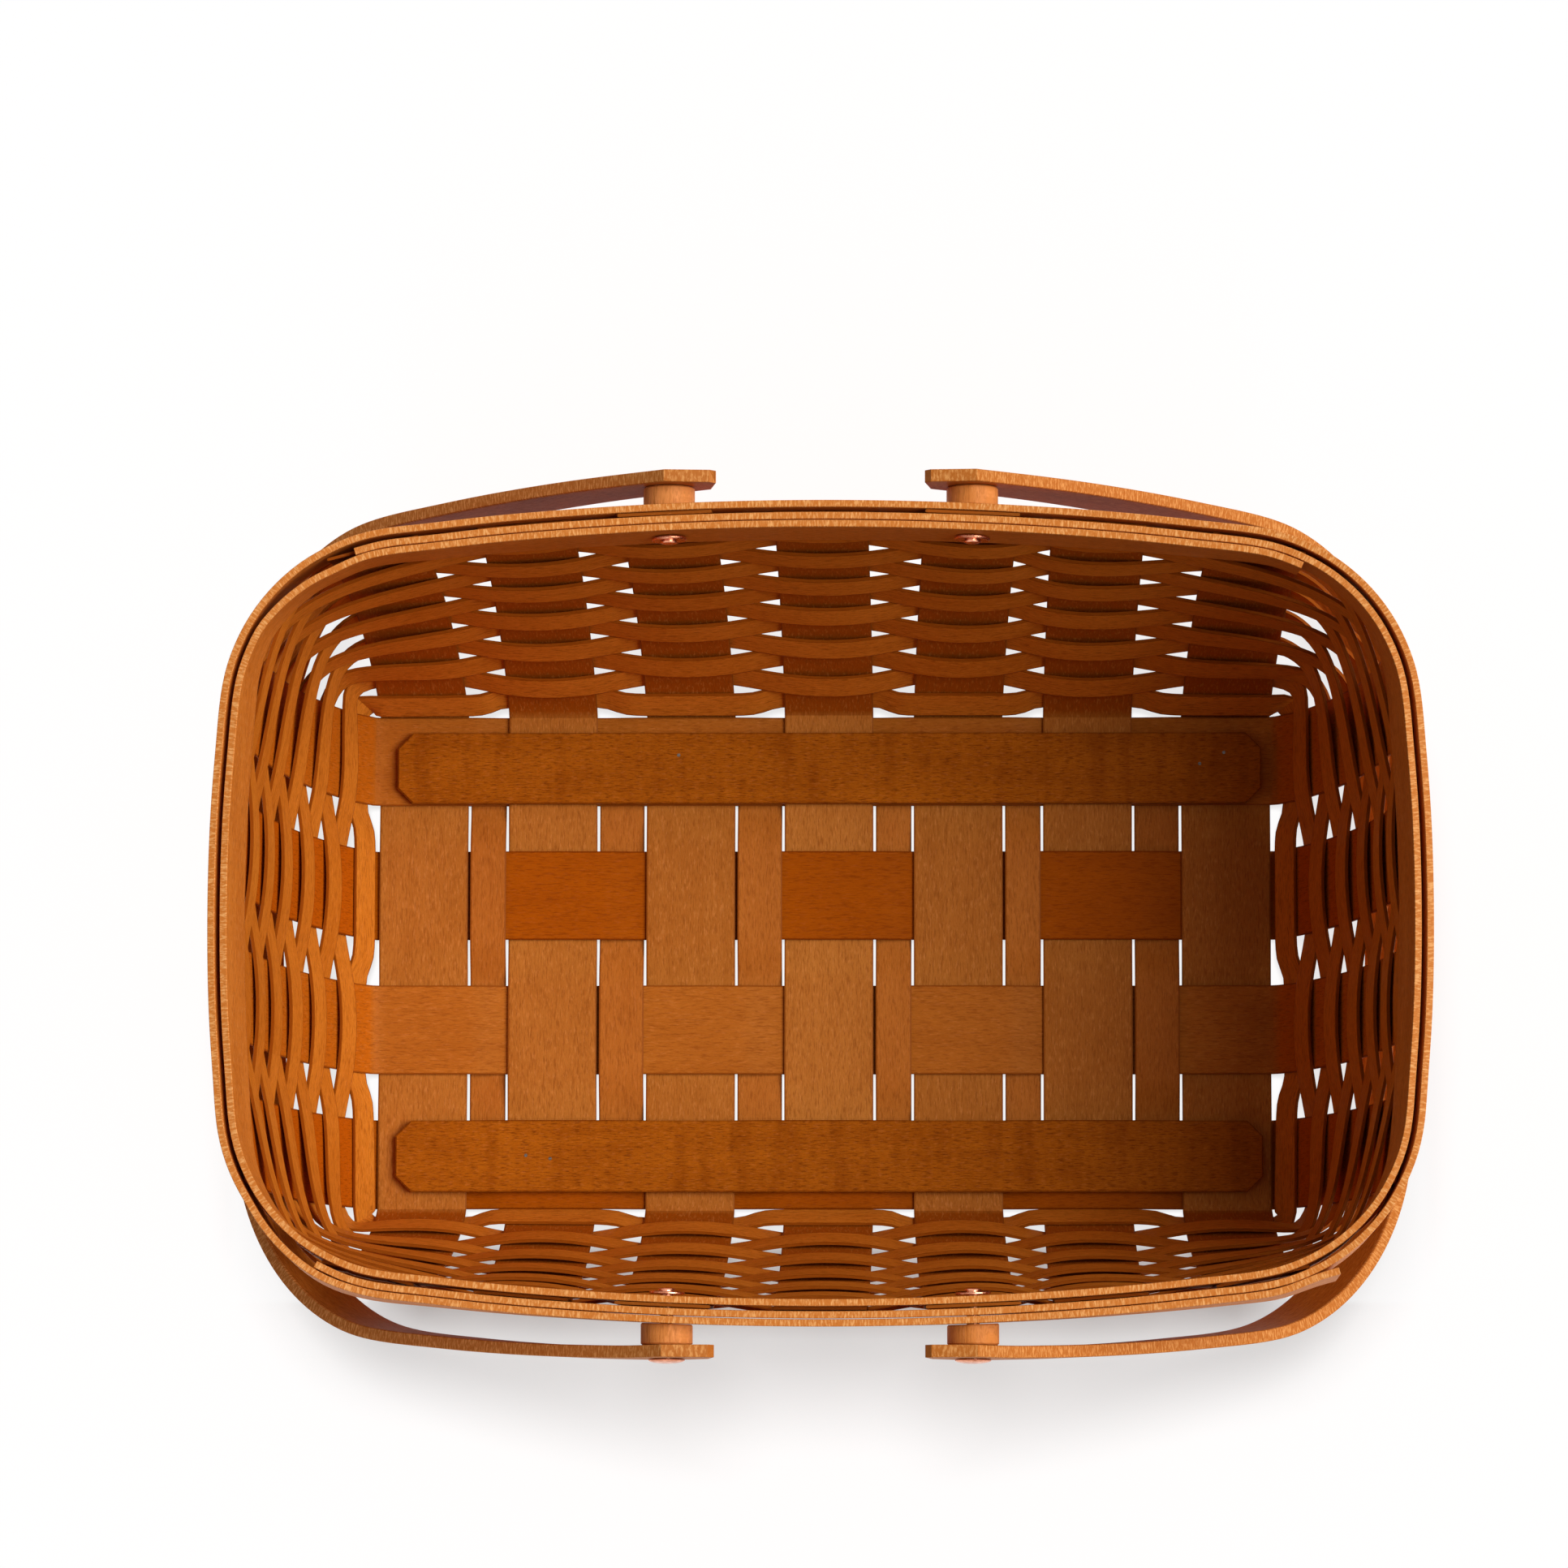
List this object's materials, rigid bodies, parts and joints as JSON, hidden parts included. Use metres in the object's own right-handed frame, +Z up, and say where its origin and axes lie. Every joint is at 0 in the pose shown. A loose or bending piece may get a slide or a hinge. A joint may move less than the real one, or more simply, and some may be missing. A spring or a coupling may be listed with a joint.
{
  "type": "market basket",
  "caption": "Rectangular woven splint basket with flared walls, a double rim band and two swing handles on riveted pivots, for carrying goods.",
  "frame": {"origin": "on the plane that the basket stands on, under the middle of the object's box", "axes": "+X along the basket's length, +Y across it towards the back, +Z up out of its mouth"},
  "size_m": [0.4173, 0.3014, 0.1927],
  "materials": {
    "stake_wood": "satin stain and clear coat",
    "weaver_wood": "satin stain and clear coat",
    "filler_wood": "satin stain and clear coat",
    "band_wood": "satin stain and clear coat",
    "rail_wood": "satin stain and clear coat",
    "handle_wood": "satin stain and clear coat",
    "copper": null
  },
  "bodies": {
    "root": {"burr_back_left": "copper", "burr_back_right": "copper", "burr_front_left": "copper", "burr_front_right": "copper", "filler_1": "filler_wood", "filler_2": "filler_wood", "filler_3": "filler_wood", "filler_4": "filler_wood", "filler_5": "filler_wood", "filler_6": "filler_wood", "floor_rail_back": "rail_wood", "floor_rail_front": "rail_wood", "inner_rim": "band_wood", "outer_rim": "band_wood", "rivet_back_left": "copper", "rivet_back_right": "copper", "rivet_front_left": "copper", "rivet_front_right": "copper", "runner_back": "rail_wood", "runner_front": "rail_wood", "spacer_back_left": "handle_wood", "spacer_back_right": "handle_wood", "spacer_front_left": "handle_wood", "spacer_front_right": "handle_wood", "stake_l1": "stake_wood", "stake_l2": "stake_wood", "stake_l3": "stake_wood", "stake_l4": "stake_wood", "stake_t1": "stake_wood", "stake_t2": "stake_wood", "stake_t3": "stake_wood", "stake_t4": "stake_wood", "stake_t5": "stake_wood", "stake_t6": "stake_wood", "stake_t7": "stake_wood", "weaver_01": "weaver_wood", "weaver_02": "weaver_wood", "weaver_03": "weaver_wood", "weaver_04": "weaver_wood", "weaver_05": "weaver_wood", "weaver_06": "weaver_wood", "weaver_07": "weaver_wood", "weaver_08": "weaver_wood", "weaver_09": "weaver_wood", "weaver_10": "weaver_wood", "weaver_11": "weaver_wood", "weaver_12": "weaver_wood"},
    "handle_left": {"handle_left": "handle_wood"},
    "handle_right": {"handle_right": "handle_wood"}
  },
  "joints": [
    {"name": "handle_left_swing", "type": "hinge", "parent": "root", "child": "handle_left", "pos_m": [-0.0512, 0, 0.1778], "axis": [0, 1, 0], "range_deg": [0, 138.7]},
    {"name": "handle_right_swing", "type": "hinge", "parent": "root", "child": "handle_right", "pos_m": [0.0512, 0, 0.1778], "axis": [0, -1, 0], "range_deg": [0, 139.6]}
  ]
}
